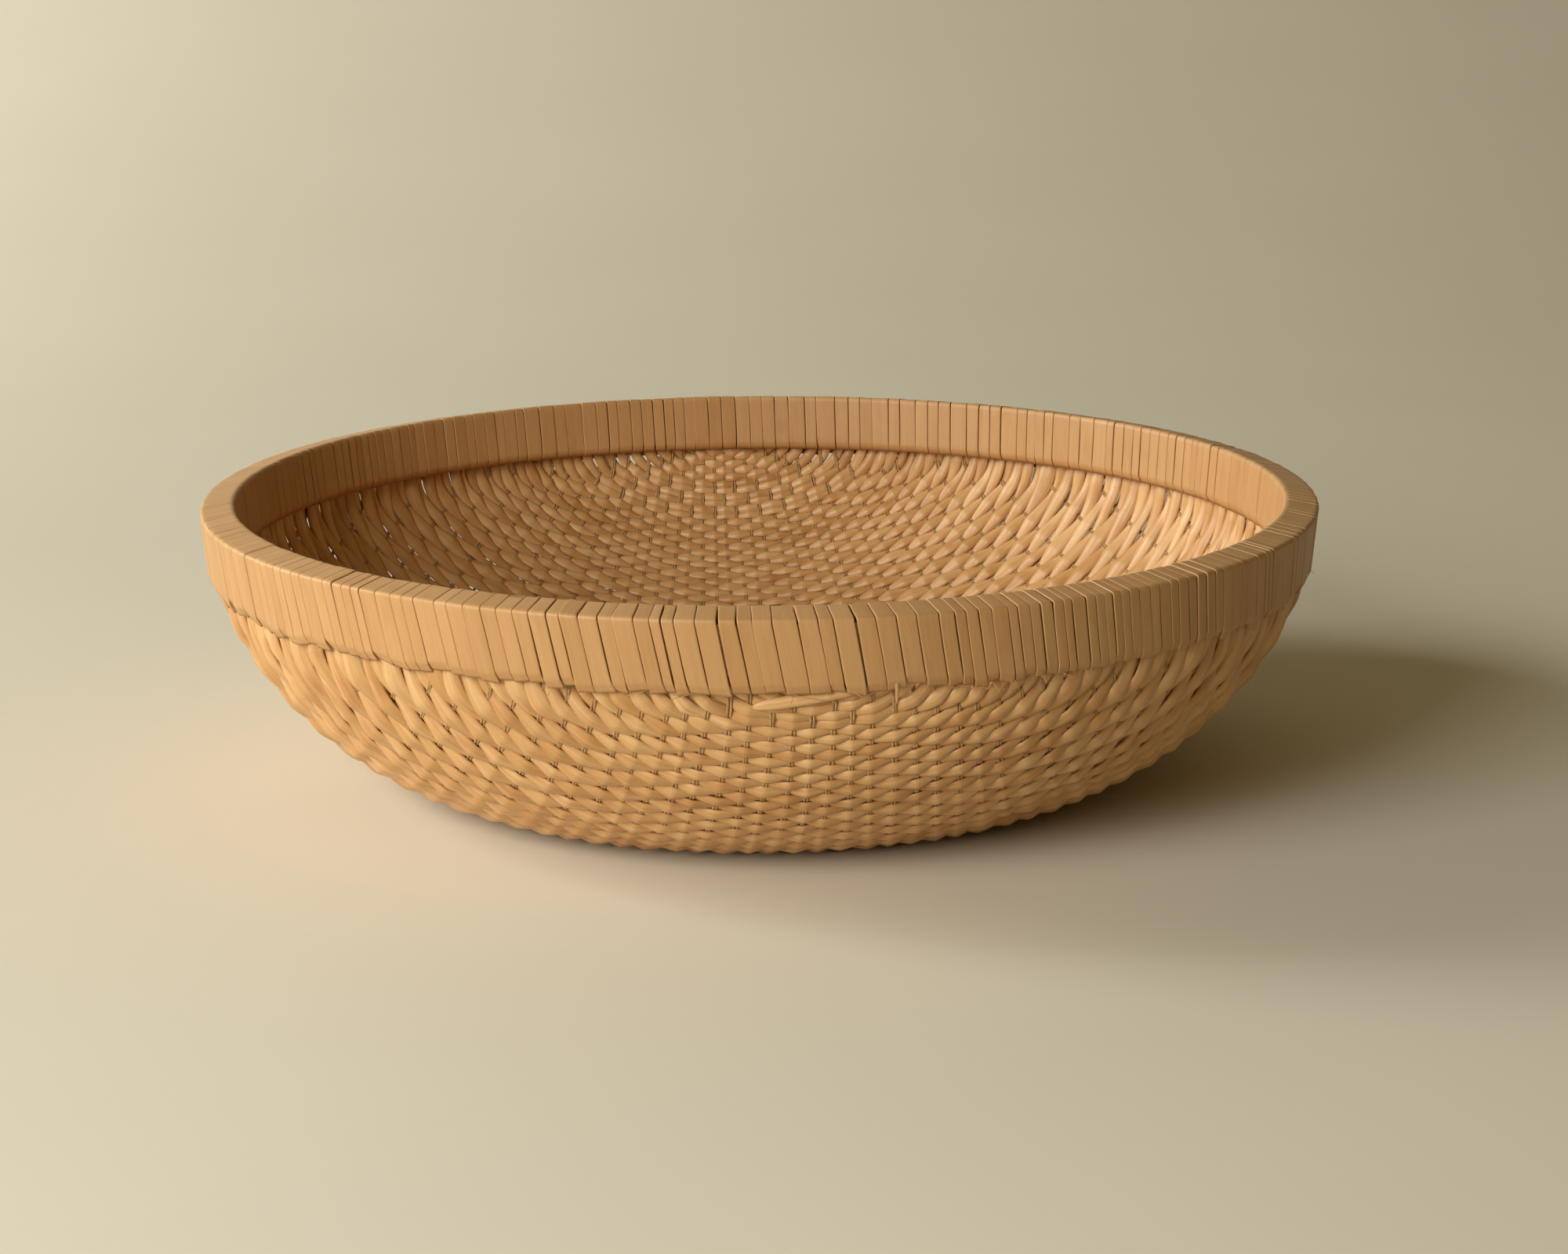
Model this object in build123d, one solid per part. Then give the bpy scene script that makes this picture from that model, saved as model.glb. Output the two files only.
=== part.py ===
from build123d import *

import math
import os

# A round, shallow willow bowl. Peeled willow rods lie side by side from left to right and are
# bound together by two-ply cords that run from front to back. The edge of the woven bowl is
# gripped between an outer and an inner bent-wood hoop, and flat willow strips are wound over
# both hoops. Millimetres and degrees. +X runs along the rods, +Y along the cords, +Z up, and
# the origin is the centre of the base on the floor.

# The woven bowl. Its outer skin is a flat floor and three arcs that turn up into the rim.
FLOOR_RADIUS = 139.0
SKIN_ARCS = [(50.0, 25.0), (140.0, 66.0), (55.0, 85.0)]  # radius, and the slope it ends at

# The rods. Their pitch is given on the floor, at the top of the wall and under the rim. It falls
# between two distances along the skin from the centre of the floor. The back half is finer.
FRONT_PITCHES = (6.2, 3.7, 3.2)
FRONT_FALL = (165.0, 262.0)
BACK_PITCHES = (5.1, 3.5, 3.5)
BACK_FALL = (165.0, 202.0)
LAST_ROD_AT = 278.0  # no rod lies further along the skin than this
ROD_SHARE = 0.4  # a rod's radius as a share of the pitch
ROD_FLAT_DEPTH = 0.12  # how much of a rod's underside is worn flat where it stands
THICKEST_ROD = 2 * ROD_SHARE * FRONT_PITCHES[0]

# The cords.
CORD_PITCH = 10.2
CORD_WIDTH = 2.2
CORD_THICKNESS = 1.2
CORDS_EACH_SIDE = 22  # besides the middle one
CORD_FAN = 0.05  # the cords stand closer together at the back than at the front
WEAVE_TOP = 110.0  # rods and cords end at this height, between the hoops

# The rim, in its own section.
RIM_RADIUS = 240.0
RIM_CORNER_HEIGHT = 119.2  # the outer top corner
RIM_INNER_RADIUS = 225.5
RIM_INNER_HEIGHT = 121.7  # the inner top corner
RIM_LEAN = 5.0  # the rim leans out from the vertical
OUTER_LEG_BOTTOM = 98.0  # where the strips turn in under the outer hoop
OUTER_LIP_HEIGHT = 91.2
INNER_LEG_BOTTOM = 99.5
INNER_LIP_HEIGHT = 95.5
STRIP_THICKNESS = 0.9
HOOP_BAND = 21.0  # the height of each hoop's full thickness
CLEARANCE = 0.25
TURNS = 216
TURN_GAP = 0.10  # degrees between neighbouring turns

# How the pieces are shared out over the nodes.
RODS_PER_NODE = 3
CORDS_PER_NODE = 9
TURNS_PER_NODE = 24

# How a strand's path is drawn.
TURN_OF_A_CORNER = 14.0  # degrees of bend between two tangents
ARC_SHARE = 0.45  # how much of a straight run the arc at one of its ends takes up
HALVINGS = 50  # steps of a search that halves its range


def skin_arc_centres():
    """The centres of the skin's arcs, each with its radius and the slopes it spans."""
    centre_r, centre_z = FLOOR_RADIUS, SKIN_ARCS[0][0]
    start = 0.0
    arcs = []
    for index, (radius, end) in enumerate(SKIN_ARCS):
        arcs.append((centre_r, centre_z, radius, start, end))
        if index + 1 < len(SKIN_ARCS):
            change = radius - SKIN_ARCS[index + 1][0]
            centre_r += change * math.sin(math.radians(end))
            centre_z -= change * math.cos(math.radians(end))
        start = end
    return arcs


ARCS = skin_arc_centres()


def skin_point(along, inset):
    """Radius and height at a distance along the skin, moved inwards by the inset."""
    if along <= FLOOR_RADIUS:
        return along, inset
    left = along - FLOOR_RADIUS
    for centre_r, centre_z, radius, start, end in ARCS:
        length = radius * math.radians(end - start)
        if left <= length:
            slope = math.radians(start) + left / radius
            reach = radius - inset
            return centre_r + reach * math.sin(slope), centre_z - reach * math.cos(slope)
        left -= length
    slope = math.radians(end)
    reach = radius - inset
    r = centre_r + reach * math.sin(slope) + left * math.cos(slope)
    z = centre_z - reach * math.cos(slope) + left * math.sin(slope)
    return r, z


def skin_height(r, inset):
    """Height and rise per radius of the inset skin at a distance from the axis."""
    if r <= FLOOR_RADIUS:
        return inset, 0.0
    for centre_r, centre_z, radius, start, end in ARCS:
        reach = radius - inset
        out = r - centre_r
        if out <= reach * math.sin(math.radians(end)):
            fall = math.sqrt(reach * reach - out * out)
            return centre_z - fall, out / fall
    end_r = centre_r + reach * math.sin(math.radians(end))
    end_z = centre_z - reach * math.cos(math.radians(end))
    rise = math.tan(math.radians(end))
    return end_z + (r - end_r) * rise, rise


def top_radius(inset):
    """How far from the axis the inset skin reaches the top of the weave."""
    low, high = FLOOR_RADIUS, RIM_RADIUS
    for _ in range(HALVINGS):
        middle = (low + high) / 2
        if skin_height(middle, inset)[0] < WEAVE_TOP:
            low = middle
        else:
            high = middle
    return low


def strand_slope(offset, inset, u):
    """The slope, in degrees, of a strand that passes the axis at an offset, at u from its middle."""
    if u == 0:
        return 0.0
    r = math.hypot(offset, u)
    return math.degrees(math.atan(skin_height(r, inset)[1] * u / r))


def strand_station(offset, inset, slope, reach):
    """How far from its middle a strand has the given slope."""
    low, high = 0.0, reach
    for _ in range(HALVINGS):
        middle = (low + high) / 2
        if strand_slope(offset, inset, middle) < slope:
            low = middle
        else:
            high = middle
    return low


def strand_corners(offset, inset):
    """A strand lies in an upright plane. These are the corners of one half of its path, where
    the tangents at evenly spaced slopes cross, and then its end."""
    reach = math.sqrt(top_radius(inset) ** 2 - offset**2)
    steepest = strand_slope(offset, inset, reach)
    count = max(2, math.ceil(steepest / TURN_OF_A_CORNER))
    tangents = []
    for step in range(count + 1):
        slope = steepest * step / count
        u = 0.0 if step == 0 else strand_station(offset, inset, slope, reach)
        if step == count:
            u = reach
        z = skin_height(math.hypot(offset, u), inset)[0]
        tangents.append((u, z, math.tan(math.radians(slope))))
    corners = []
    for (u_a, z_a, rise_a), (u_b, z_b, rise_b) in zip(tangents, tangents[1:]):
        u = (z_b - z_a + rise_a * u_a - rise_b * u_b) / (rise_a - rise_b)
        corners.append((u, z_a + rise_a * (u - u_a)))
    return corners + [tangents[-1][:2]]


def strand_path(offset, inset):
    """The whole path, mirrored about its middle: straight runs joined by tangent arcs, each as
    large as its two runs allow."""
    half = strand_corners(offset, inset)
    points = [Vector(-u, z) for u, z in reversed(half)] + [Vector(u, z) for u, z in half]
    radii = []
    for before, corner, after in zip(points, points[1:], points[2:]):
        turn = math.radians((corner - before).get_angle(after - corner))
        run = min((corner - before).length, (after - corner).length)
        radii.append(ARC_SHARE * run / math.tan(turn / 2))
    return FilletPolyline(*points, radius=radii)


def strand(section, offset, inset, heading):
    """Sweeps a section along a strand's path in the upright plane with the given heading."""
    angle = math.radians(heading)
    along = Vector(math.cos(angle), math.sin(angle), 0)
    across = Vector(-math.sin(angle), math.cos(angle), 0)
    path = Plane(origin=across * offset, x_dir=along, z_dir=across * -1) * strand_path(offset, inset)
    start = Plane(origin=path @ 0, x_dir=across, z_dir=path % 0)
    return sweep(start * section, path=path)


def row_positions(pitches, fall):
    """Distances along the skin of the rods on one side, from the middle rod outwards, and last
    the place where one more would lie."""
    floor_pitch, wall_top_pitch, rim_pitch = pitches
    start, end = fall
    rows = [0.0]
    while rows[-1] <= LAST_ROD_AT:
        share = min(max((rows[-1] - start) / (end - start), 0.0), 1.0)
        pitch = floor_pitch + (wall_top_pitch - floor_pitch) * share
        rows.append(rows[-1] + (rim_pitch if rows[-1] >= end else pitch))
    return rows


FRONT_ROWS = row_positions(FRONT_PITCHES, FRONT_FALL)
BACK_ROWS = row_positions(BACK_PITCHES, BACK_FALL)


def rod(along, ahead, side):
    """One peeled willow rod. Rods that cross the floor stand on a narrow worn flat."""
    radius = ROD_SHARE * (ahead - along)
    inset = radius - ROD_FLAT_DEPTH
    offset = side * skin_point(along, inset)[0]
    solid = strand(Circle(radius), offset, inset, 0)
    if along < FLOOR_RADIUS:
        under_floor = (Align.CENTER, Align.CENTER, Align.MAX)
        below = Box(2 * RIM_RADIUS, 4 * radius, 2 * radius, align=under_floor)
        solid -= Pos(0, offset, 0) * below
    return solid


def cord(index):
    """One warp cord, on the inner side of the rods. The cords fan apart towards the front."""
    inset = THICKEST_ROD + CLEARANCE + CORD_THICKNESS / 2
    at_middle = index * CORD_PITCH
    fan = math.atan(CORD_FAN * at_middle / RIM_RADIUS)
    offset = -at_middle * math.cos(fan)
    return strand(Rectangle(CORD_WIDTH, CORD_THICKNESS), offset, inset, 90 + math.degrees(fan))


def outer_face(z):
    """Radius of the wrapped rim's outer face at a height."""
    return RIM_RADIUS - (RIM_CORNER_HEIGHT - z) * math.tan(math.radians(RIM_LEAN))


def inner_face(z):
    """Radius of the wrapped rim's inner face at a height."""
    return RIM_INNER_RADIUS - (RIM_INNER_HEIGHT - z) * math.tan(math.radians(RIM_LEAN))


def skin_radius(z, inset):
    """Radius of the inset skin at a height in the rim, where the skin is straight."""
    centre_r, centre_z, radius, _, end = ARCS[-1]
    slope = math.radians(end)
    reach = radius - inset
    end_r = centre_r + reach * math.sin(slope)
    end_z = centre_z - reach * math.cos(slope)
    return end_r + (z - end_z) / math.tan(slope)


def ring_section(points):
    """A flat face in the radial plane through +X, from radius and height pairs."""
    return Plane.XZ * make_face(Polyline(*points, close=True).edges())


def outer_hoop():
    """The outer hoop, with its lower outer edge taken off where the strips turn in."""
    top = OUTER_LEG_BOTTOM + HOOP_BAND - 2 * STRIP_THICKNESS
    cover = STRIP_THICKNESS + CLEARANCE / 2
    bottom = OUTER_LIP_HEIGHT + 2 * STRIP_THICKNESS
    section = [
        (skin_radius(bottom, 0) + 2 * CLEARANCE, bottom),
        (skin_radius(top, 0) + 2 * CLEARANCE, top),
        (outer_face(top) - cover, top),
        (outer_face(OUTER_LEG_BOTTOM) - cover, OUTER_LEG_BOTTOM),
        (skin_radius(bottom, 0) + 4 * CLEARANCE, bottom),
    ]
    return revolve(ring_section(section), axis=Axis.Z)


def weave_thickness():
    """From the outer skin to the inner side of the cords."""
    return THICKEST_ROD + CLEARANCE + CORD_THICKNESS


def inner_hoop():
    """The inner hoop, against the cords."""
    top = INNER_LEG_BOTTOM + HOOP_BAND - STRIP_THICKNESS
    cover = STRIP_THICKNESS + CLEARANCE / 2
    bottom = INNER_LIP_HEIGHT + 2 * STRIP_THICKNESS
    inside = weave_thickness() + 2 * CLEARANCE
    section = [
        (skin_radius(bottom, inside), bottom),
        (skin_radius(top, inside), top),
        (inner_face(top) + cover, top),
        (inner_face(INNER_LEG_BOTTOM) + cover, INNER_LEG_BOTTOM),
        (skin_radius(bottom, inside) - 2 * CLEARANCE, bottom),
    ]
    return revolve(ring_section(section), axis=Axis.Z)


def turn_section():
    """A strip's turn over the rim: an outer leg, the top and an inner leg, with both lower ends
    turned in under the hoops as far as the weave."""
    t = STRIP_THICKNESS
    inside = weave_thickness() + CLEARANCE
    outline = [
        (skin_radius(OUTER_LIP_HEIGHT, 0) + CLEARANCE, OUTER_LIP_HEIGHT),
        (outer_face(OUTER_LEG_BOTTOM), OUTER_LEG_BOTTOM),
        (RIM_RADIUS, RIM_CORNER_HEIGHT),
        (RIM_INNER_RADIUS, RIM_INNER_HEIGHT),
        (inner_face(INNER_LEG_BOTTOM), INNER_LEG_BOTTOM),
        (skin_radius(INNER_LIP_HEIGHT, inside), INNER_LIP_HEIGHT),
        (skin_radius(INNER_LIP_HEIGHT + t, inside), INNER_LIP_HEIGHT + t),
        (inner_face(INNER_LEG_BOTTOM) + t, INNER_LEG_BOTTOM + t / 2),
        (RIM_INNER_RADIUS + t, RIM_INNER_HEIGHT - t),
        (RIM_RADIUS - t, RIM_CORNER_HEIGHT - t),
        (outer_face(OUTER_LEG_BOTTOM) - t, OUTER_LEG_BOTTOM + t / 2),
        (skin_radius(OUTER_LIP_HEIGHT + t, 0) + CLEARANCE, OUTER_LIP_HEIGHT + t),
    ]
    return ring_section(outline)


def turn(index):
    """One turn of a willow strip round the rim."""
    step = 360 / TURNS
    start = Rot(0, 0, index * step) * turn_section()
    return revolve(start, axis=Axis.Z, revolution_arc=step - TURN_GAP)


def write(name, solids):
    """Writes one node's solids to its STEP file."""
    group = solids[0] if len(solids) == 1 else Compound(children=solids)
    export_step(group, f"parts/{name}.step")


def write_groups(name, solids, size):
    """Writes a long row of like solids as numbered nodes of a few neighbours each."""
    for number, first in enumerate(range(0, len(solids), size), start=1):
        write(f"{name}_{number:02d}", solids[first : first + size])


def solid_of(shape):
    """The one solid of a built shape."""
    return shape.solids()[0]


def rods(rows, side):
    """The rods of one side, from the middle outwards: those on the floor and those on the wall."""
    made = [(row, solid_of(rod(row, ahead, side))) for row, ahead in zip(rows, rows[1:])]
    floor = [solid for row, solid in made if row < FLOOR_RADIUS]
    return floor, [solid for row, solid in made if row >= FLOOR_RADIUS]


def build():
    os.makedirs("parts", exist_ok=True)
    front_floor, front_wall = rods(FRONT_ROWS, -1)
    back_floor, back_wall = rods(BACK_ROWS, 1)
    floor = front_floor[:0:-1] + back_floor
    write_groups("floor_rods", floor, RODS_PER_NODE)
    write_groups("front_wall_rods", front_wall, RODS_PER_NODE)
    write_groups("back_wall_rods", back_wall, RODS_PER_NODE)
    cords = [solid_of(cord(index)) for index in range(-CORDS_EACH_SIDE, CORDS_EACH_SIDE + 1)]
    write_groups("warp_cords", cords, CORDS_PER_NODE)
    write("rim_hoop_outer", [outer_hoop()])
    write("rim_hoop_inner", [inner_hoop()])
    turns = [solid_of(turn(index)) for index in range(TURNS)]
    write_groups("rim_wrapping", turns, TURNS_PER_NODE)
    print("rods", len(floor + front_wall + back_wall), "cords", len(cords), "turns", len(turns))


build()
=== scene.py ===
import math

import bpy
import numpy as np
from mathutils import Euler, Matrix, Vector


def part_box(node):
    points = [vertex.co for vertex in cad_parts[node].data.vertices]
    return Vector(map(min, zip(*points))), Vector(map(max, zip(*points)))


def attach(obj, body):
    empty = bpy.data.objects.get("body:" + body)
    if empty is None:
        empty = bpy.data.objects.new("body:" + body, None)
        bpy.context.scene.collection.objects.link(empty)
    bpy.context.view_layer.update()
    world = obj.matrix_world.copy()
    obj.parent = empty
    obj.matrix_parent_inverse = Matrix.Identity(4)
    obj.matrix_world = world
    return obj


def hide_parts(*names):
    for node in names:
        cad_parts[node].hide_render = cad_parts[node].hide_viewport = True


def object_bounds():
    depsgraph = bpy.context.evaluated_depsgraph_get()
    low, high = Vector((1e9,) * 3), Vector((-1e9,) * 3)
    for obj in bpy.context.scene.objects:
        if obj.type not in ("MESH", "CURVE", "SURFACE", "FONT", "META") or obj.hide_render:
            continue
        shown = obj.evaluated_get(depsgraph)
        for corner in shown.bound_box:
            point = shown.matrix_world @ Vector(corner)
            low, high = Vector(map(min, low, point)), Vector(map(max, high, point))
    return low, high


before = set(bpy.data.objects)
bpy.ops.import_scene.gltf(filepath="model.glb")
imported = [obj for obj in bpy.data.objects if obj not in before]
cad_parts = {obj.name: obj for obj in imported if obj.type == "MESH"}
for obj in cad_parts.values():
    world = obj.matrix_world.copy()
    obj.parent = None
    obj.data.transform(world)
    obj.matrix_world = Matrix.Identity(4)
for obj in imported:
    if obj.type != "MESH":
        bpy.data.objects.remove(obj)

# A shallow willow bowl: peeled rods from left to right, two-ply cords from front to back, and a
# rim of two hoops wound with flat willow strips. Everything is in metres. The sizes below are
# those of a bowl whose rim is 240 mm in radius, and MM brings them to the frame's own rim.
CAD_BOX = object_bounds()
MM = CAD_BOX[1].x / 240.0
CHANCE = np.random.default_rng(7)

# The outer skin of the weave: a flat floor and three arcs, each with the slope it ends at.
FLOOR_RADIUS = 139.0 * MM
SKIN_ARCS = ((50.0 * MM, 25.0), (140.0 * MM, 66.0), (55.0 * MM, 85.0))
SKIN_END = 303.0 * MM

# Rods. The pitch is given for the floor, the top of the wall and under the rim, with the
# distances along the skin between which it falls, and between which thin rods go in pairs.
FRONT = {
    "pitches": (6.2 * MM, 3.7 * MM, 3.2 * MM),
    "fall": (165.0 * MM, 262.0 * MM),
    "paired": (262.0 * MM, 303.0 * MM),
}
BACK = {
    "pitches": (5.1 * MM, 3.5 * MM, 3.5 * MM),
    "fall": (165.0 * MM, 202.0 * MM),
    "paired": (244.0 * MM, 265.0 * MM),
}
LAST_ROD_AT = 281.5 * MM

# The pitch under the rim is reached this far past the fall, and each step differs by this share.
RIM_FALL = 8.0 * MM
UNEVEN_PITCH = 0.035

# A rod's half thickness and its swing over the cords are shares of the pitch. Inside the rim a
# rod is narrower, thinner and straighter: its half width, half thickness and swing there. A rod is
# a little wider than its pitch, so that it closes against its neighbours, but never wider than
# WIDEST_ROD. The rods of a pair keep only a little of the lens shape.
ROD_THICKNESS = 0.36
ROD_SWING = 0.20
RODS_IN_RIM = (0.45, 0.22, 0.04)
ROD_WIDTH = 1.08
WIDEST_ROD = 1.25
PAIR_SHAPING = 0.15
STATIONS = 12

# Heights: where the weave ends inside the rim, and from and to where its rods and cords change to
# what they are in there.
WEAVE_TOP = 110.0 * MM
HIDDEN_FROM = 93.0 * MM
HIDDEN_BY = 98.0 * MM

# Cords. They are evenly spaced in plan over the middle, and then evenly up the walls at the
# sides. They draw together towards a distance beyond the front and the back of the bowl.
CORD_PITCH = 10.6 * MM
EVEN_CORDS = 18
WALL_CORD_PITCH = 18.0 * MM
CORDS_EACH_SIDE = 22
CORDS_DRAW_IN = (325.0 * MM, 265.0 * MM)
CORD_WANDER = 0.06
STRAND_WIDTH = 1.0 * MM
STRAND_THICKNESS = 0.9 * MM
STRAND_SIDES = 8
STEPS_PER_ROW = 6

# Half of a rod's section where it lies outside a cord: across in shares of the pitch, and outwards
# in shares of its half thickness. It is broad outside and narrow inside, and the rods beside it
# are the other way round there, so that they close against each other.
SECTION = np.array((
    (0.0, 1.0), (0.22, 0.93), (0.42, 0.72), (0.58, 0.40), (0.65, 0.04),
    (0.38, -0.40), (0.31, -0.66), (0.20, -0.87), (0.10, -0.97), (0.0, -1.0),
))

# The wrapped rim's section.
RIM_RADIUS = 240.0 * MM
RIM_CORNER_HEIGHT = 119.2 * MM
RIM_INNER_RADIUS = 225.5 * MM
RIM_INNER_HEIGHT = 121.7 * MM
RIM_LEAN = math.tan(math.radians(5.0))
OUTER_LEG_BOTTOM = 93.8 * MM
OUTER_LIP = (235.8 * MM, 90.4 * MM)
INNER_LEG_BOTTOM = 98.0 * MM
INNER_LIP = (225.0 * MM, 94.8 * MM)
STRIP_ROUNDING = (3.5 * MM, 2.0 * MM, 1.8 * MM, 4.5 * MM)
STRIP_THICKNESS = 0.9 * MM

# A strip leans by these shares of its way down, outside and inside the rim, and its slanted cut
# begins this far before its end.
STRIP_LEAN = 0.19
STRIP_LEAN_INSIDE = 0.04
END_CUT_REACH = 7.0 * MM

# A strip's section: across in shares of its width, and outwards in shares of its thickness.
STRIP_SECTION = np.array((
    (-0.5, -0.45), (-0.49, -0.12), (-0.46, -0.02), (-0.40, 0.0), (0.40, 0.0), (0.46, -0.02),
    (0.49, -0.12), (0.5, -0.45), (0.5, -0.9), (0.0, -0.9), (-0.5, -0.9),
))

# How broad the strips are round the rim: angles in degrees, and mean widths there in units of MM.
# Broad ones lie at the front and fine ones to the right of it.
STRIP_PLACES = (0, 230, 262, 280, 284, 330, 360)
STRIP_MEANS = (6.6, 6.6, 7.6, 7.8, 5.2, 5.6, 6.6)
NARROWEST_STRIP = 3.6 * MM
BROADEST_STRIP = 11.5 * MM

# Where the strips' ends are frayed, from and to in degrees with the number of fibres, and where
# one strip is split.
FRAYED = ((0, 360, 30), (285, 297, 22), (258, 276, 12))
SPLIT_AT = 277.4


# ---------------------------------------------------------------- camera and stage

def make_camera():
    """The camera stands in front of the bowl, five degrees to the left of the cords' direction."""
    data = bpy.data.cameras.new("camera")
    data.sensor_width = 36.0
    data.lens = 70.3
    data.clip_end = 50.0
    camera = bpy.data.objects.new("camera", data)
    bpy.context.scene.collection.objects.link(camera)
    camera.location = (-0.1062, -1.3044, 0.3821)
    facing = Euler((math.radians(90 - 13.95), 0.0, math.radians(-5.1))).to_matrix()
    camera.rotation_euler = (facing @ Matrix.Rotation(math.radians(-0.22), 3, "Z")).to_euler()
    bpy.context.scene.camera = camera
    return camera


def make_light(name, at, aim, size, power, colour):
    data = bpy.data.lights.new(name, "AREA")
    data.shape = "RECTANGLE"
    data.size, data.size_y = size
    data.energy = power
    data.color = colour
    light = bpy.data.objects.new(name, data)
    light.location = at
    light.rotation_euler = (Vector(aim) - Vector(at)).to_track_quat("-Z", "Y").to_euler()
    bpy.context.scene.collection.objects.link(light)
    return light


def make_stage():
    """A pale paper sweep: flat under the bowl, then rising behind it."""
    half_width, front, back = 6.0, -3.0, 0.9
    bend, wall, steps = 2.8, 1.5, 32
    profile = [(front, 0.0), (back, 0.0)]
    for step in range(1, steps + 1):
        turn = math.radians(90) * step / steps
        profile.append((back + bend * math.sin(turn), bend * (1 - math.cos(turn))))
    profile.append((back + bend, bend + wall))
    points = [(side * half_width, y, z) for y, z in profile for side in (-1, 1)]
    faces = [(2 * i, 2 * i + 1, 2 * i + 3, 2 * i + 2) for i in range(len(profile) - 1)]
    mesh = bpy.data.meshes.new("paper_sweep")
    mesh.from_pydata(points, [], faces)
    mesh.polygons.foreach_set("use_smooth", [True] * len(faces))
    sweep = bpy.data.objects.new("paper_sweep", mesh)
    bpy.context.scene.collection.objects.link(sweep)
    sweep.data.materials.append(paper())


# ---------------------------------------------------------------- materials

def new_material(name):
    material = bpy.data.materials.new(name)
    material.use_nodes = True
    tree = material.node_tree
    tree.nodes.clear()
    shader = tree.nodes.new("ShaderNodeBsdfPrincipled")
    output = tree.nodes.new("ShaderNodeOutputMaterial")
    tree.links.new(shader.outputs["BSDF"], output.inputs["Surface"])
    return material, tree, shader


def attribute(tree, name):
    node = tree.nodes.new("ShaderNodeAttribute")
    node.attribute_name = name
    return node


def stretched_noise(tree, vector, scale, detail=4.0, roughness=0.6):
    """Noise on a vector whose axes are scaled separately, so that it runs along the grain."""
    mapping = tree.nodes.new("ShaderNodeMapping")
    mapping.inputs["Scale"].default_value = scale
    tree.links.new(vector, mapping.inputs["Vector"])
    noise = tree.nodes.new("ShaderNodeTexNoise")
    noise.inputs["Scale"].default_value = 1.0
    noise.inputs["Detail"].default_value = detail
    noise.inputs["Roughness"].default_value = roughness
    tree.links.new(mapping.outputs["Vector"], noise.inputs["Vector"])
    return noise.outputs["Fac"]


def ramp(tree, value, stops):
    node = tree.nodes.new("ShaderNodeValToRGB")
    elements = node.color_ramp.elements
    while len(elements) < len(stops):
        elements.new(0.5)
    for element, (at, colour) in zip(elements, stops):
        element.position = at
        element.color = (*colour, 1.0)
    tree.links.new(value, node.inputs["Fac"])
    return node.outputs["Color"]


def grey_ramp(tree, value, start, end, most):
    """A factor that rises from nothing at the start to its most at the end."""
    return ramp(tree, value, ((start, (0.0, 0.0, 0.0)), (end, (most, most, most))))


def mix(tree, factor, first, second, blend="MIX"):
    node = tree.nodes.new("ShaderNodeMix")
    node.data_type = "RGBA"
    node.blend_type = blend
    colour_a = [s for s in node.inputs if s.name == "A" and s.type == "RGBA"][0]
    colour_b = [s for s in node.inputs if s.name == "B" and s.type == "RGBA"][0]
    for socket, value in ((node.inputs[0], factor), (colour_a, first), (colour_b, second)):
        if isinstance(value, bpy.types.NodeSocket):
            tree.links.new(value, socket)
        elif isinstance(value, tuple):
            socket.default_value = (*value, 1.0)
        else:
            socket.default_value = value
    return [s for s in node.outputs if s.type == "RGBA"][0]


def bump(tree, shader, height, strength, distance):
    node = tree.nodes.new("ShaderNodeBump")
    node.inputs["Strength"].default_value = strength
    node.inputs["Distance"].default_value = distance
    tree.links.new(height, node.inputs["Height"])
    tree.links.new(node.outputs["Normal"], shader.inputs["Normal"])


def knots(tree, grain):
    """A factor that is high in a few small oval knots, which have a ring around them."""
    mapping = tree.nodes.new("ShaderNodeMapping")
    mapping.inputs["Scale"].default_value = (11.0, 22.0, 40.0)
    tree.links.new(grain, mapping.inputs["Vector"])
    cells = tree.nodes.new("ShaderNodeTexVoronoi")
    cells.inputs["Scale"].default_value = 1.0
    tree.links.new(mapping.outputs["Vector"], cells.inputs["Vector"])
    faint, strong, none = (0.35, 0.35, 0.35), (0.85, 0.85, 0.85), (0.0, 0.0, 0.0)
    stops = ((0.0, strong), (0.012, strong), (0.020, faint), (0.028, strong), (0.042, none))
    return ramp(tree, cells.outputs["Distance"], stops)


def willow(name, pale, tan, brown, contrast, roughness):
    """Peeled willow. The grain attribute holds the length along the piece, the distance across
    it, and a number of the piece's own, all in metres. The tone attribute darkens a piece."""
    material, tree, shader = new_material(name)
    grain = attribute(tree, "grain").outputs["Vector"]
    tone = attribute(tree, "tone").outputs["Fac"]
    streaks = stretched_noise(tree, grain, (22.0, 900.0, 40.0))
    patches = stretched_noise(tree, grain, (45.0, 160.0, 40.0), detail=2.0)
    fibres = stretched_noise(tree, grain, (60.0, 4200.0, 40.0), detail=2.0)
    body = ramp(tree, streaks, ((0.30, tan), (0.62, pale)))
    stained = grey_ramp(tree, patches, 0.50, 0.74, 0.6 * contrast)
    body = mix(tree, stained, body, brown)
    darker = mix(tree, 1.0, body, (0.80, 0.70, 0.56), "MULTIPLY")
    body = mix(tree, grey_ramp(tree, tone, 0.0, 1.0, contrast), body, darker)
    body = mix(tree, knots(tree, grain), body, (0.16, 0.075, 0.025))
    tree.links.new(body, shader.inputs["Base Color"])
    shader.inputs["Roughness"].default_value = roughness
    shader.inputs["Specular IOR Level"].default_value = 0.45
    bump(tree, shader, fibres, 0.25, 0.0004)
    return material


def rod_willow():
    pale, tan, brown = (0.73, 0.46, 0.21), (0.61, 0.33, 0.125), (0.45, 0.19, 0.054)
    return willow("willow_rod", pale, tan, brown, 1.0, 0.36)


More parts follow.
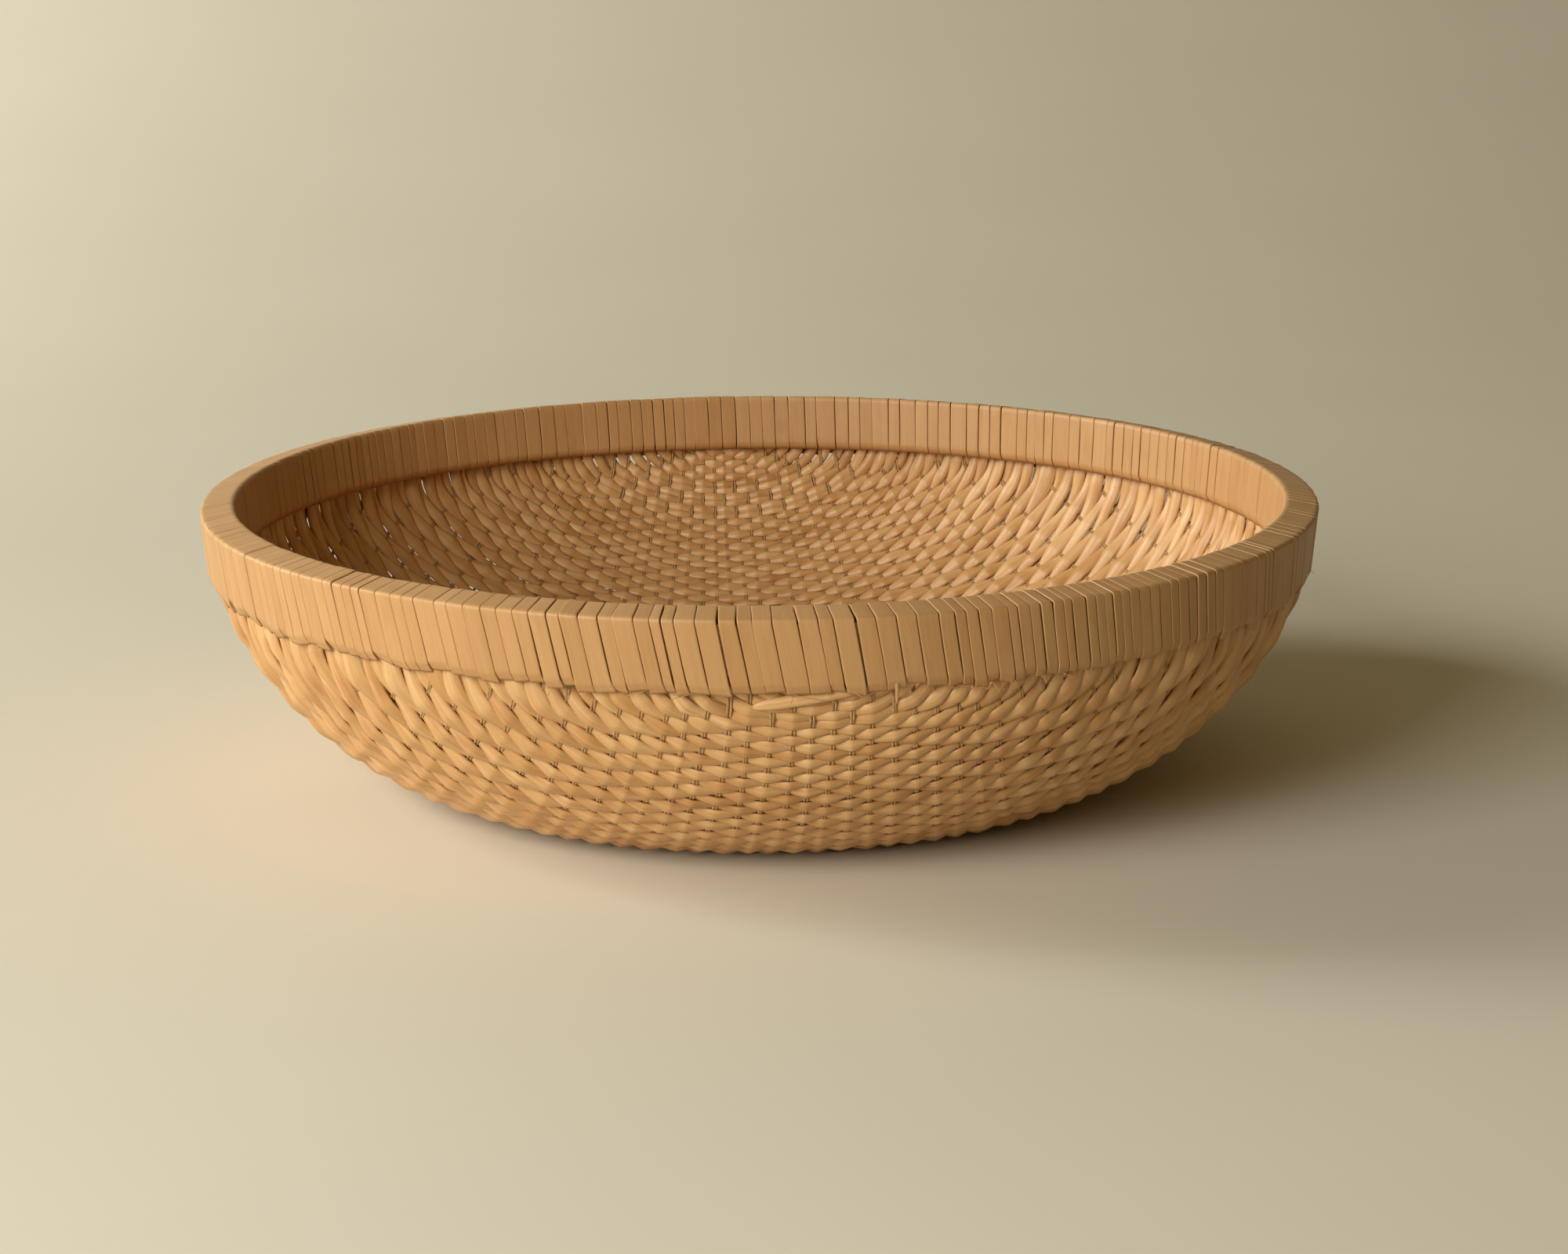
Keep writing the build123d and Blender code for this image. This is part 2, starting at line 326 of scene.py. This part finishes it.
def strip_willow():
    pale, tan, brown = (0.555, 0.315, 0.13), (0.52, 0.28, 0.105), (0.41, 0.19, 0.056)
    return willow("willow_strip", pale, tan, brown, 0.5, 0.42)


def hemp():
    material, tree, shader = new_material("hemp_cord")
    grain = attribute(tree, "grain").outputs["Vector"]
    twist = stretched_noise(tree, grain, (700.0, 700.0, 40.0), detail=3.0)
    body = ramp(tree, twist, ((0.3, (0.30, 0.16, 0.06)), (0.7, (0.56, 0.35, 0.16))))
    tree.links.new(body, shader.inputs["Base Color"])
    shader.inputs["Roughness"].default_value = 0.85
    shader.inputs["Specular IOR Level"].default_value = 0.2
    bump(tree, shader, twist, 0.5, 0.0004)
    return material


def hoop_wood():
    material, tree, shader = new_material("hoop_wood")
    place = tree.nodes.new("ShaderNodeTexCoord").outputs["Object"]
    streaks = stretched_noise(tree, place, (25.0, 25.0, 500.0))
    body = ramp(tree, streaks, ((0.3, (0.20, 0.10, 0.04)), (0.7, (0.38, 0.22, 0.10))))
    tree.links.new(body, shader.inputs["Base Color"])
    shader.inputs["Roughness"].default_value = 0.7
    bump(tree, shader, streaks, 0.3, 0.0005)
    return material


def paper():
    material, tree, shader = new_material("paper")
    place = tree.nodes.new("ShaderNodeTexCoord").outputs["Object"]
    cloud = stretched_noise(tree, place, (3.0, 3.0, 3.0), detail=2.0)
    body = ramp(tree, cloud, ((0.3, (0.72, 0.67, 0.55)), (0.7, (0.74, 0.69, 0.57))))
    tree.links.new(body, shader.inputs["Base Color"])
    shader.inputs["Roughness"].default_value = 0.9
    shader.inputs["Specular IOR Level"].default_value = 0.2
    return material


# ---------------------------------------------------------------- the woven surface

def skin(along):
    """Radius, height and slope of the outer skin at distances from the middle of the floor."""
    along = np.asarray(along, float)
    r = np.minimum(along, FLOOR_RADIUS)
    z = np.zeros_like(along)
    slope = np.zeros_like(along)
    at, start = FLOOR_RADIUS, 0.0
    for radius, end_degrees in SKIN_ARCS:
        end = math.radians(end_degrees)
        turned = np.clip((along - at) / radius, 0.0, end - start)
        r = r + radius * (np.sin(start + turned) - math.sin(start))
        z = z + radius * (math.cos(start) - np.cos(start + turned))
        slope = slope + turned
        at += radius * (end - start)
        start = end
    beyond = np.maximum(along - at, 0.0)
    return r + beyond * math.cos(start), z + beyond * math.sin(start), slope


def pitch_at(along, half):
    """From one rod to the next, at a distance along the skin, in the front or the back half."""
    start, end = half["fall"]
    return np.interp(along, (start, end, end + RIM_FALL), half["pitches"])


# The middle of the weave's thickness, as a table over the distance from the floor's middle.
ALONG = np.linspace(0.0, SKIN_END, 2400)
INSET = (ROD_THICKNESS + ROD_SWING) * pitch_at(ALONG, FRONT)
SKIN_R, SKIN_Z, SLOPE = skin(ALONG)
MIDDLE_R = SKIN_R - INSET * np.sin(SLOPE)
MIDDLE_Z = SKIN_Z + INSET * np.cos(SLOPE)


def along_at_radius(r):
    """Distance along the middle surface's meridian at a radius, going on evenly past its end."""
    past = np.maximum(r - MIDDLE_R[-1], 0.0) * 4.0
    return np.interp(r, MIDDLE_R, ALONG) + past


def surface(x, y):
    """Height and outward normal of the middle surface above points of the ground plan."""
    r = np.hypot(x, y)
    z = np.interp(r, MIDDLE_R, MIDDLE_Z)
    slope = np.interp(r, MIDDLE_R, SLOPE)
    share = np.sin(slope) / np.maximum(r, 1e-6)
    return z, np.stack([share * x, share * y, -np.cos(slope)], axis=-1)


def cord_spread(y):
    """How far apart the cords are, as a share of their spacing in the middle of the bowl. They
    draw together towards the front, and more towards the back."""
    meet = np.where(y < 0, *CORDS_DRAW_IN)
    return np.sqrt(1 - (y / meet) ** 2)


def cord_wander(number, y):
    """How far each cord strays from its even place, as a share of the spacing."""
    slow = np.sin(number * 0.9 + y / (31 * MM)) + np.sin(number * 2.3 - y / (17 * MM) + 1.0)
    return CORD_WANDER * slow


def cord_number(x, y):
    """Which cord runs through a point of the ground plan, as a number with its fraction. The
    cords are evenly spaced over the floor, and then evenly up the walls at the sides."""
    at_middle = np.abs(x) / cord_spread(y)
    last_even = EVEN_CORDS * CORD_PITCH
    up_wall = (along_at_radius(at_middle) - along_at_radius(last_even)) / WALL_CORD_PITCH
    even = np.minimum(at_middle, last_even) / CORD_PITCH
    number = np.sign(x) * (even + np.maximum(up_wall, 0.0))
    return number + cord_wander(number, y)


def cord_x(number, y):
    """Where a cord lies in X at one Y, the other way round from cord_number."""
    limit = 0.9999 * MIDDLE_R[-1] * cord_spread(y)
    x = np.linspace(-limit, limit, 4000)
    return np.interp(number, cord_number(x, np.full_like(x, y)), x)


def rows_of(half, side):
    """The rods of one half, from the middle rod outwards: each with its turn, its distance along
    the skin, its Y and its distance from the rods beside it. Rods pass the cords on the side that
    their turn tells, and the two of a pair have the same turn."""
    places, turns = [0.0], [0]
    while places[-1] < LAST_ROD_AT:
        in_pairs = half["paired"][0] <= places[-1] < half["paired"][1]
        alone = len(turns) == 1 or turns[-1] != turns[-2]
        turns.append(turns[-1] + (0 if in_pairs and alone else 1))
        uneven = 1 + CHANCE.normal(0.0, UNEVEN_PITCH)
        places.append(places[-1] + pitch_at(places[-1], half) * uneven)
    places, turns = places[:-1], turns[:-1]
    radius = np.interp(places, ALONG, MIDDLE_R)
    return list(zip(turns, places, side * radius, np.gradient(radius)))


FRONT_ROWS = rows_of(FRONT, -1)
BACK_ROWS = rows_of(BACK, 1)
ROW_PLAN = FRONT_ROWS[:0:-1] + BACK_ROWS


def smooth_noise(count, spacing, amount):
    """A gently wandering value along a piece, with a new random turn at each spacing."""
    turns = CHANCE.normal(0.0, amount, max(4, int(count / spacing) + 3))
    at = np.linspace(0, len(turns) - 1.001, count)
    low = at.astype(int)
    t = at - low
    t = t * t * (3 - 2 * t)
    return turns[low] * (1 - t) + turns[low + 1] * t


# ---------------------------------------------------------------- meshes

def tube_mesh(rings):
    """Vertices and faces of a closed tube through rings of points (ring, around, xyz)."""
    count, around = rings.shape[:2]
    ring = np.arange(count - 1)[:, None] * around
    a = ring + np.arange(around)[None, :]
    b = ring + (np.arange(around)[None, :] + 1) % around
    faces = np.stack([a, b, b + around, a + around], axis=-1).reshape(-1, 4)
    caps = [np.arange(around)[::-1], (count - 1) * around + np.arange(around)]
    return rings.reshape(-1, 3), faces, caps


class Bundle:
    """Gathers closed tubes and slabs into one mesh, with their grain and tone."""

    def __init__(self):
        self.points, self.grain, self.tone = [], [], []
        self.quads, self.caps = [], []
        self.size = 0

    def add_tube(self, rings, grain, tone):
        points, faces, caps = tube_mesh(rings)
        self.points.append(points)
        self.grain.append(grain.reshape(-1, 3))
        self.tone.append(np.repeat(tone, rings.shape[1]))
        self.quads.append(faces + self.size)
        self.caps.extend([cap + self.size for cap in caps])
        self.size += len(points)

    def build(self, name, material):
        points = np.concatenate(self.points)
        quads = np.concatenate(self.quads)
        corners = np.concatenate([quads.ravel(), *self.caps])
        sizes = np.concatenate([np.full(len(quads), 4), [len(cap) for cap in self.caps]])
        starts = np.concatenate([[0], np.cumsum(sizes)[:-1]])
        mesh = bpy.data.meshes.new(name)
        mesh.vertices.add(len(points))
        mesh.vertices.foreach_set("co", points.astype(np.float32).ravel())
        mesh.loops.add(len(corners))
        mesh.loops.foreach_set("vertex_index", corners.astype(np.int32))
        mesh.polygons.add(len(sizes))
        mesh.polygons.foreach_set("loop_start", starts.astype(np.int32))
        mesh.polygons.foreach_set("use_smooth", np.ones(len(sizes), bool))
        grain = mesh.attributes.new("grain", "FLOAT_VECTOR", "POINT")
        grain.data.foreach_set("vector", np.concatenate(self.grain).astype(np.float32).ravel())
        tone = mesh.attributes.new("tone", "FLOAT", "POINT")
        tone.data.foreach_set("value", np.concatenate(self.tone).astype(np.float32))
        mesh.update(calc_edges=True)
        mesh.validate()
        mesh.materials.append(material)
        piece = bpy.data.objects.new(name, mesh)
        bpy.context.scene.collection.objects.link(piece)
        return piece


def fade(value, start, end):
    """From 1 at start to 0 at end, smoothly."""
    t = np.clip((value - start) / (end - start), 0.0, 1.0)
    return 1 - t * t * (3 - 2 * t)


def soft_triangle(phase):
    """A wave from -1 to 1 with nearly straight slopes, as a stiff rod bends from cord to cord."""
    return np.arcsin(0.97 * np.cos(phase)) / math.asin(0.97)


def along_and_across(centre, normal):
    """Lengths along a line on the woven surface, and the directions across it."""
    steps = np.linalg.norm(np.diff(centre, axis=0), axis=1)
    length = np.concatenate([[0], np.cumsum(steps)])
    tangent = np.gradient(centre, length, axis=0)
    tangent /= np.linalg.norm(tangent, axis=1)[:, None]
    return length, np.cross(normal, tangent)


def rod_stations(y):
    """Places along a rod, evenly from each cord to the next, as cord numbers and X."""
    top_radius = np.interp(WEAVE_TOP, MIDDLE_Z, MIDDLE_R)
    reach = math.sqrt(top_radius**2 - y**2)
    dense = np.linspace(-reach, reach, 3000)
    numbers = cord_number(dense, np.full_like(dense, y))
    first = math.ceil(numbers[0] * STATIONS)
    last = math.floor(numbers[-1] * STATIONS)
    stations = np.arange(first, last + 1) / STATIONS
    return stations, np.interp(stations, numbers, dense)


def rod_sections(broad):
    """A rod's section at each station, as shares of its pitch and of its half thickness."""
    under = SECTION[::-1] * (1, -1)
    half = SECTION * broad[:, None, None] + under * (1 - broad)[:, None, None]
    return np.concatenate([half, half[:, -2:0:-1] * (-1, 1)], axis=1)


def rod_rings(turn, place, y, gap):
    """The rings of one rod, with their grain and tone. It bends over and under the cords, and it
    is broadest on the side where it is free."""
    stations, x = rod_stations(y)
    count = len(x)
    z, normal = surface(x, np.full_like(x, y))
    centre = np.stack([x, np.full_like(x, y), z], axis=-1)
    length, across = along_and_across(centre, normal)
    half = FRONT if y < 0 else BACK
    nominal = pitch_at(place, half)
    pitch = gap / np.sqrt(np.maximum(1 - normal[:, 1] ** 2, 1e-4))
    pitch = np.minimum(pitch, WIDEST_ROD * nominal)
    free = fade(z, HIDDEN_FROM, HIDDEN_BY)
    wave = soft_triangle(math.pi * (stations + turn))
    in_pair = half["paired"][0] <= place < half["paired"][1]
    shaping = PAIR_SHAPING if in_pair else 1.0
    own = ROD_WIDTH + CHANCE.normal(0.0, 0.04) + smooth_noise(count, 2 * STATIONS, 0.05)
    width_in_rim, thickness_in_rim, swing_in_rim = RODS_IN_RIM
    width = pitch * own * (2 * width_in_rim + (1 - 2 * width_in_rim) * free)
    thickness = pitch * (thickness_in_rim + (ROD_THICKNESS - thickness_in_rim) * free)
    swing = pitch * (swing_in_rim + (ROD_SWING - swing_in_rim) * free)
    lens = np.clip(1.12 * wave + smooth_noise(count, STATIONS, 0.10), -1, 1)
    sections = rod_sections(0.5 + 0.5 * shaping * free * lens)
    twist = smooth_noise(count, 3 * STATIONS, 0.09)
    sideways = across * np.cos(twist)[:, None] + normal * np.sin(twist)[:, None]
    outwards = normal * np.cos(twist)[:, None] - across * np.sin(twist)[:, None]
    centre += normal * (wave * swing)[:, None]
    centre += across * smooth_noise(count, STATIONS, 0.03 * nominal)[:, None]
    u = sections[:, :, 0] * width[:, None]
    v = sections[:, :, 1] * thickness[:, None]
    rings = centre[:, None] + sideways[:, None] * u[:, :, None] + outwards[:, None] * v[:, :, None]
    grain = np.empty(rings.shape)
    grain[:, :, 0] = length[:, None] + CHANCE.random() * 3
    grain[:, :, 1] = np.arange(rings.shape[1])[None, :] * 2.6 * nominal / rings.shape[1]
    grain[:, :, 2] = CHANCE.random() * 3
    tone = CHANCE.beta(1.6, 2.6) + smooth_noise(count, 2 * STATIONS, 0.18)
    return rings, grain, np.clip(tone, 0, 1)


def cord_rings(number, strand):
    """The rings of one strand of a cord, which passes over one rod and under the next."""
    turns, _, rows_y, _ = (np.array(column) for column in zip(*ROW_PLAN))
    sides = (-1.0) ** (turns + number + 1)
    last_row = len(ROW_PLAN) - 1
    index = np.linspace(0, last_row, STEPS_PER_ROW * last_row + 1)
    y = np.interp(index, np.arange(last_row + 1), rows_y)
    x = np.array([cord_x(number, place) for place in y])
    inside = np.hypot(x, y) < np.interp(WEAVE_TOP, MIDDLE_Z, MIDDLE_R)
    if inside.sum() < STEPS_PER_ROW:
        return None
    x, y, index = x[inside], y[inside], index[inside]
    z, normal = surface(x, y)
    centre = np.stack([x, y, z], axis=-1)
    length, across = along_and_across(centre, normal)
    low = np.minimum(index.astype(int), last_row - 1)
    t = index - low
    t = t * t * (3 - 2 * t)
    side = sides[low] * (1 - t) + sides[low + 1] * t
    free = fade(z, HIDDEN_FROM, HIDDEN_BY)
    place = along_at_radius(np.hypot(x, y))
    pitch = np.where(y < 0, pitch_at(place, FRONT), pitch_at(place, BACK))
    lift = (ROD_THICKNESS - ROD_SWING) * pitch + 0.5 * STRAND_THICKNESS
    centre += normal * (side * lift * free)[:, None]
    sway = smooth_noise(len(x), 18, 0.14 * MM)
    centre += across * (strand * 0.5 * STRAND_WIDTH + sway)[:, None]
    turn = np.arange(STRAND_SIDES) * 2 * math.pi / STRAND_SIDES
    sideways = 0.5 * STRAND_WIDTH * np.cos(turn)
    outwards = 0.5 * STRAND_THICKNESS * np.sin(turn)
    rings = centre[:, None] + across[:, None] * sideways[:, None]
    rings = rings + normal[:, None] * outwards[:, None]
    grain = np.empty(rings.shape)
    grain[:, :, 0] = length[:, None]
    grain[:, :, 1] = turn[None, :] * STRAND_WIDTH / 2
    grain[:, :, 2] = CHANCE.random() * 3
    return rings, grain, np.full(len(x), 0.5)


# ---------------------------------------------------------------- the rim

def strip_route(drop):
    """The line that a strip follows over the rim, from the inner lip to the outer lip, as radius
    and height, with its outward direction. Drop lowers the strip's outer end."""
    inner_foot = RIM_INNER_RADIUS - (RIM_INNER_HEIGHT - INNER_LEG_BOTTOM) * RIM_LEAN
    outer_foot = RIM_RADIUS - (RIM_CORNER_HEIGHT - OUTER_LEG_BOTTOM) * RIM_LEAN
    corners = [
        INNER_LIP,
        (inner_foot, INNER_LEG_BOTTOM),
        (RIM_INNER_RADIUS, RIM_INNER_HEIGHT),
        (RIM_RADIUS, RIM_CORNER_HEIGHT),
        (outer_foot, OUTER_LEG_BOTTOM - drop),
        (OUTER_LIP[0], OUTER_LIP[1] - drop),
    ]
    points = [Vector((*corners[0], 0))]
    for before, corner, after, radius in zip(corners, corners[1:], corners[2:], STRIP_ROUNDING):
        here = Vector((*corner, 0))
        back = (Vector((*before, 0)) - here).normalized()
        on = (Vector((*after, 0)) - here).normalized()
        half_turn = (math.pi - back.angle(on)) / 2
        cut = radius * math.tan(half_turn)
        start, end = here + back * cut, here + on * cut
        for step in range(5):
            t = step / 4
            points.append(start * (1 - t) ** 2 + here * 2 * t * (1 - t) + end * t * t)
    points.append(Vector((*corners[-1], 0)))
    line = np.array([(p.x, p.y) for p in points])
    length = np.concatenate([[0], np.cumsum(np.linalg.norm(np.diff(line, axis=0), axis=1))])
    even = np.linspace(0, length[-1], 64)
    keep = np.unique(np.concatenate([length, even[::2]]))
    line = np.stack([np.interp(keep, length, line[:, i]) for i in range(2)], axis=-1)
    tangent = np.gradient(line, keep, axis=0)
    tangent /= np.linalg.norm(tangent, axis=1)[:, None]
    outward = np.stack([-tangent[:, 1], tangent[:, 0]], axis=-1)
    return line, outward, keep


def strip_rings(start, width, drop):
    """The rings of one turn of strip: a thin slab, rounded at its edges, that leans as it goes
    down the outer face."""
    line, outward, length = strip_route(drop)
    crest = length[np.argmax(line[:, 0])]
    past = length - crest
    lean = np.where(past > 0, past * STRIP_LEAN, past * STRIP_LEAN_INSIDE)
    count = len(length)
    lean = lean + smooth_noise(count, 20, 0.10 * MM)
    wobble = 1 + smooth_noise(count, 16, 0.03)
    across, rise = STRIP_SECTION.T
    rise = rise * STRIP_THICKNESS
    tilt = CHANCE.normal(-0.03, 0.08) * STRIP_THICKNESS
    lift = CHANCE.normal(0.0, 0.07) * STRIP_THICKNESS
    offset = rise + tilt * across * 2 + lift
    radius = line[:, None, 0] + outward[:, None, 0] * offset
    height = line[:, None, 1] + outward[:, None, 1] * offset
    sideways = lean[:, None] + across * width * RIM_RADIUS * wobble[:, None]
    angle = start + width / 2 + sideways / RIM_RADIUS
    near_end = np.clip(1 - (length[-1] - length) / END_CUT_REACH, 0, 1)[:, None]
    height = height + near_end * CHANCE.normal(0.0, 0.13) * across * width * RIM_RADIUS
    rings = np.stack([radius * np.cos(angle), radius * np.sin(angle), height], axis=-1)
    grain = np.empty(rings.shape)
    grain[:, :, 0] = length[:, None] + CHANCE.random() * 3
    grain[:, :, 1] = across * width * RIM_RADIUS
    grain[:, :, 2] = CHANCE.random() * 3
    tone = np.clip(CHANCE.beta(1.5, 3.0) + smooth_noise(count, 30, 0.08), 0, 1)
    return rings, grain, tone


def strip_widths():
    """Angles where the strips begin, all round, as the strips came to the maker's hand."""
    starts = [0.0]
    while starts[-1] < 2 * math.pi:
        place = math.degrees(starts[-1])
        mean = np.interp(place, STRIP_PLACES, STRIP_MEANS)
        width = mean * math.exp(CHANCE.normal(0.0, 0.22)) * MM
        width = min(max(width, NARROWEST_STRIP), BROADEST_STRIP)
        starts.append(starts[-1] + width / RIM_RADIUS)
    return np.array(starts) * (2 * math.pi / starts[-1])


def shoot_rings(line, half_width, half_thickness, upward):
    """The rings of a slender piece that tapers to both its ends, with its grain and tone."""
    count = len(line)
    steps = np.linalg.norm(np.diff(line, axis=0), axis=1)
    length = np.concatenate([[0], np.cumsum(steps)])
    tangent = np.gradient(line, length, axis=0)
    tangent /= np.linalg.norm(tangent, axis=1)[:, None]
    out = np.cross(tangent, upward)
    out /= np.linalg.norm(out, axis=1)[:, None]
    up = np.cross(out, tangent)
    taper = np.sqrt(np.clip(1 - np.linspace(-0.98, 0.98, count) ** 4, 0, 1))
    turn = np.arange(10) * 2 * math.pi / 10
    rise = half_width * taper[:, None] * np.cos(turn)
    depth = half_thickness * taper[:, None] * np.sin(turn)
    rings = line[:, None] + up[:, None] * rise[:, :, None] + out[:, None] * depth[:, :, None]
    grain = np.empty(rings.shape)
    grain[:, :, 0] = length[:, None] + CHANCE.random() * 3
    grain[:, :, 1] = turn[None, :] * half_width
    grain[:, :, 2] = CHANCE.random() * 3
    return rings, grain, np.full(count, CHANCE.random() * 0.4)


def rim_point(angle, radius, height):
    return np.array([radius * math.cos(angle), radius * math.sin(angle), height])


def fibre_rings(angle):
    """A fine fibre that has come loose from the lower end of a strip."""
    root = rim_point(angle, OUTER_LIP[0] - 0.3 * MM, OUTER_LIP[1] + 0.5 * MM)
    reach = CHANCE.uniform(3.0, 11.0) * MM
    away = rim_point(angle, 1.0, 0.0)
    aside = rim_point(angle + math.pi / 2, 1.0, 0.0) * CHANCE.normal(0.0, 1.2)
    start = away * 0.5 + aside - np.array([0.0, 0.0, 0.6])
    bend = away * CHANCE.normal(-0.1, 0.4) + aside * CHANCE.normal(0.0, 0.6)
    t = np.linspace(0, 1, 9)[:, None]
    line = root + start * reach * 0.6 * t + bend * reach * 0.6 * t * t
    thickness = CHANCE.uniform(0.09, 0.17) * MM
    return shoot_rings(line, thickness, thickness, (0.0, 0.0, 1.0))


def split_strip_rings(angle):
    """A sliver that hangs down from the end of a split strip."""
    t = np.linspace(0, 1, 12)
    radius = OUTER_LIP[0] + (0.8 + 0.8 * t) * MM
    height = OUTER_LIP[1] + (14.0 - 19.0 * t) * MM
    line = np.stack([radius * math.cos(angle), radius * math.sin(angle), height], axis=-1)
    return shoot_rings(line, 0.75 * MM, 0.3 * MM, rim_point(angle + math.pi / 2, 1.0, 0.0))


def loose_rod_rings():
    """The tapered end of a spliced rod, which shows just under the wrapping at the front."""
    x = np.linspace(-22.0, 19.0, 24) * MM
    height = (87.6 + 0.16 * (x / MM + 4)) * MM
    radius = np.interp(height, SKIN_Z, SKIN_R) + 0.4 * MM
    line = np.stack([x, -np.sqrt(radius**2 - x**2), height], axis=-1)
    return shoot_rings(line, 2.5 * MM, 1.3 * MM, (0.0, 0.0, 1.0))


# ---------------------------------------------------------------- assembling

def numbered(prefix):
    return sorted(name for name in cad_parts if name.startswith(prefix))


def finish_piece(piece, nodes):
    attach(piece, "root")
    if nodes:
        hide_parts(*nodes)


def make_rods(material):
    """Each rod is a piece of its own, and stands for the CAD node that it lies nearest to."""
    pieces = []
    for turn, place, y, gap in ROW_PLAN:
        bundle = Bundle()
        bundle.add_tube(*rod_rings(turn, place, y, gap))
        name = f"willow_rod_{len(pieces) + 1:03d}"
        pieces.append((bundle.build(name, material), y))
    spliced = Bundle()
    spliced.add_tube(*loose_rod_rings())
    finish_piece(spliced.build("spliced_rod_end", material), [])
    prefixes = ("floor_rods", "front_wall_rods", "back_wall_rods")
    nodes = [name for prefix in prefixes for name in numbered(prefix)]
    boxes = {n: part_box(n) for n in nodes}
    for piece, y in pieces:
        near = [n for n in nodes if boxes[n][0].y - 2 * MM <= y <= boxes[n][1].y + 2 * MM]
        near.sort(key=lambda n: abs((boxes[n][0].y + boxes[n][1].y) / 2 - y))
        finish_piece(piece, near[:1])


def make_cords(material):
    last = CORDS_EACH_SIDE
    nodes = numbered("warp_cords")
    for number in range(-last, last + 1):
        bundle = Bundle()
        for strand in (-1, 1):
            made = cord_rings(number, strand)
            if made:
                bundle.add_tube(*made)
        if bundle.points:
            piece = bundle.build(f"warp_cord_{number + last + 1:02d}", material)
            group = (number + last) * len(nodes) // (2 * last + 1)
            finish_piece(piece, [nodes[group]])


def make_wrapping(material):
    nodes = numbered("rim_wrapping")
    starts = strip_widths()
    share = 2 * math.pi / len(nodes)
    bundles = [Bundle() for _ in nodes]
    for start, end in zip(starts, starts[1:]):
        gap = abs(CHANCE.normal(0.20, 0.14)) * MM / RIM_RADIUS
        drop = CHANCE.normal(0.0, 0.6) * MM
        group = min(int((start + end) / 2 // share), len(nodes) - 1)
        bundles[group].add_tube(*strip_rings(start, end - start - gap, drop))
    places = np.concatenate([CHANCE.uniform(*frayed) for frayed in FRAYED])
    for angle in np.radians(places):
        bundles[int(angle // share)].add_tube(*fibre_rings(angle))
    split = math.radians(SPLIT_AT)
    bundles[int(split // share)].add_tube(*split_strip_rings(split))
    for node, bundle in zip(nodes, bundles):
        piece = bundle.build(node.replace("rim_wrapping", "willow_wrapping"), material)
        finish_piece(piece, [node])


def dress_hoops(material):
    for name in ("rim_hoop_outer", "rim_hoop_inner"):
        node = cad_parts[name]
        node.data.materials.clear()
        node.data.materials.append(material)


def make_world(strength, colour):
    world = bpy.data.worlds.new("world")
    bpy.context.scene.world = world
    world.use_nodes = True
    background = world.node_tree.nodes["Background"]
    background.inputs["Color"].default_value = (*colour, 1.0)
    background.inputs["Strength"].default_value = strength


def make_lights():
    """One soft window to the front left, a glow on the paper behind, and the room's warm light."""
    window_at, bowl = (-1.2, -1.3, 0.8), (0.0, 0.0, 0.05)
    make_light("window", window_at, bowl, (1.0, 1.0), 30.4, (1.0, 0.986, 0.943))
    glow_at, backdrop = (-3.0, 0.9, 1.3), (-0.1, 3.4, 0.7)
    make_light("glow", glow_at, backdrop, (1.8, 1.8), 134.5, (0.985, 1.0, 0.947))
    make_world(0.124, (1.0, 0.73, 0.25))


make_camera()
make_stage()
make_lights()
bpy.context.scene.view_settings.view_transform = "Standard"

make_rods(rod_willow())
make_cords(hemp())
make_wrapping(strip_willow())
dress_hoops(hoop_wood())
